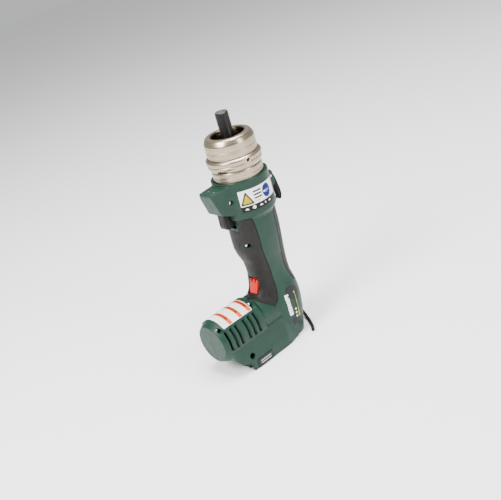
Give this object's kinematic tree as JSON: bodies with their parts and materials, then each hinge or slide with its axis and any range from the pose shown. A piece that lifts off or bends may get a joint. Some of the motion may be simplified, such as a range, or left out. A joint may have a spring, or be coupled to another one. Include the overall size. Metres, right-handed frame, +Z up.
{
  "type": "battery hydraulic punch driver",
  "caption": "Hand-held battery-hydraulic knockout punch driver: upright grip with a swivelling steel pulling head and draw stud, motor and battery foot lying forward at the base",
  "frame": {"origin": "on the handle's axis, in the plane of the foot's base, at mount foot_base", "axes": "+Z up along the handle and the draw stud, +X forward to the trigger and along the motor, +Y to the operator's left"},
  "size_m": [0.1846, 0.0873, 0.341],
  "materials": {
    "housing": "fine moulded texture",
    "grip_rubber": "soft overmould, fine texture",
    "cord": "braided",
    "black_plastic": "moulded",
    "red_plastic": "moulded",
    "plated_steel": "turned and nickel plated, satin",
    "black_oxide": "black oxide, oiled",
    "machined_steel": "machined",
    "copper": "copper windings and contacts",
    "lens": "clear",
    "board": "coated circuit board",
    "label_film": "printed film",
    "plate_film": "printed film"
  },
  "bodies": {
    "housing_body": {"left_shell": "housing", "right_shell": "housing", "left_front_grip": "grip_rubber", "right_front_grip": "grip_rubber", "left_rear_grip": "grip_rubber", "right_rear_grip": "grip_rubber", "oil_reservoir": "grip_rubber", "hand_strap": "cord", "strap_loop": "cord", "trigger_switch": "black_plastic", "motor_brush_bell": "black_plastic", "battery_terminal_block": "black_plastic", "cylinder_body": "plated_steel", "ram_return_spring": "machined_steel", "pump_block": "machined_steel", "motor_can": "machined_steel", "motor_drive_bell": "machined_steel", "motor_drive_bearing": "machined_steel", "motor_brush_bearing": "machined_steel", "ring_gear": "machined_steel", "tail_bearing": "machined_steel", "carrier_bearing": "machined_steel", "lever_pin": "machined_steel", "strap_pin": "machined_steel", "shell_screw_1": "machined_steel", "shell_screw_2": "machined_steel", "shell_screw_3": "machined_steel", "shell_screw_4": "machined_steel", "shell_screw_5": "machined_steel", "terminal_blade_1": "copper", "terminal_blade_2": "copper", "terminal_blade_3": "copper", "work_light_lens_1": "lens", "work_light_lens_2": "lens", "control_board": "board", "collar_label": "label_film", "motor_label": "label_film", "foot_name_plate": "plate_film", "side_badge": "plate_film"},
    "head": {"flange_ring": "plated_steel", "head_sleeve": "plated_steel"},
    "ram": {"ram_piston": "machined_steel", "piston_seal": "grip_rubber", "draw_stud": "black_oxide"},
    "trigger_body": {"trigger": "black_plastic"},
    "lever_body": {"release_lever": "red_plastic"},
    "relief_pin_body": {"relief_valve_pin": "machined_steel"},
    "plunger_body": {"pump_plunger": "machined_steel"},
    "rotor": {"motor_shaft": "machined_steel", "armature": "copper", "commutator": "copper", "cooling_fan": "black_plastic", "sun_pinion": "machined_steel"},
    "carrier": {"planet_carrier": "machined_steel", "eccentric_bearing": "machined_steel"},
    "planet_1_body": {"planet_gear_1": "machined_steel"},
    "planet_2_body": {"planet_gear_2": "machined_steel"},
    "planet_3_body": {"planet_gear_3": "machined_steel"}
  },
  "joints": [
    {"name": "head_swivel", "type": "hinge", "parent": "housing_body", "child": "head", "pos_m": [0, 0, 0.275], "axis": [0, 0, 1], "range_deg": [-175, 175]},
    {"name": "ram_stroke", "type": "slide", "parent": "housing_body", "child": "ram", "axis": [0, 0, -1], "range_m": [0, 0.022], "stiffness_N_per_m": 2000, "springref_m": -0.01, "deforming": ["ram_return_spring"]},
    {"name": "trigger_pull", "type": "slide", "parent": "housing_body", "child": "trigger_body", "axis": [-1, 0, 0], "range_m": [0, 0.005], "stiffness_N_per_m": 600, "springref_m": -0.004},
    {"name": "release_press", "type": "hinge", "parent": "housing_body", "child": "lever_body", "pos_m": [0.0234, 0, 0.0976], "axis": [0, 1, 0], "range_deg": [0, 9], "stiffness_Nm_per_rad": 0.2, "springref_deg": -11.46},
    {"name": "relief_pin_slide", "type": "slide", "parent": "housing_body", "child": "relief_pin_body", "axis": [-1, 0, 0], "range_m": [0, 0.0016]},
    {"name": "rotor_spin", "type": "hinge", "parent": "housing_body", "child": "rotor", "pos_m": [0.07, 0, 0.052], "axis": [1, 0, 0], "continuous": true},
    {"name": "carrier_spin", "type": "hinge", "parent": "housing_body", "child": "carrier", "pos_m": [0.01, 0, 0.052], "axis": [1, 0, 0], "continuous": true},
    {"name": "plunger_slide", "type": "slide", "parent": "housing_body", "child": "plunger_body", "axis": [0, 0, 1], "range_m": [0, 0.003], "stiffness_N_per_m": 400, "springref_m": -0.004},
    {"name": "planet_1_spin", "type": "hinge", "parent": "carrier", "child": "planet_1_body", "pos_m": [0.028, 0, 0.067], "axis": [1, 0, 0], "continuous": true},
    {"name": "planet_2_spin", "type": "hinge", "parent": "carrier", "child": "planet_2_body", "pos_m": [0.028, -0.01299, 0.0445], "axis": [1, 0, 0], "continuous": true},
    {"name": "planet_3_spin", "type": "hinge", "parent": "carrier", "child": "planet_3_body", "pos_m": [0.028, 0.01299, 0.0445], "axis": [1, 0, 0], "continuous": true}
  ],
  "couplings": [
    {"joint": "carrier_spin", "follows": "rotor_spin", "ratio": 0.2},
    {"joint": "planet_1_spin", "follows": "rotor_spin", "ratio": -0.53333},
    {"joint": "planet_2_spin", "follows": "rotor_spin", "ratio": -0.53333},
    {"joint": "planet_3_spin", "follows": "rotor_spin", "ratio": -0.53333},
    {"joint": "relief_pin_slide", "follows": "release_press", "m_per_rad": 0.0094}
  ]
}
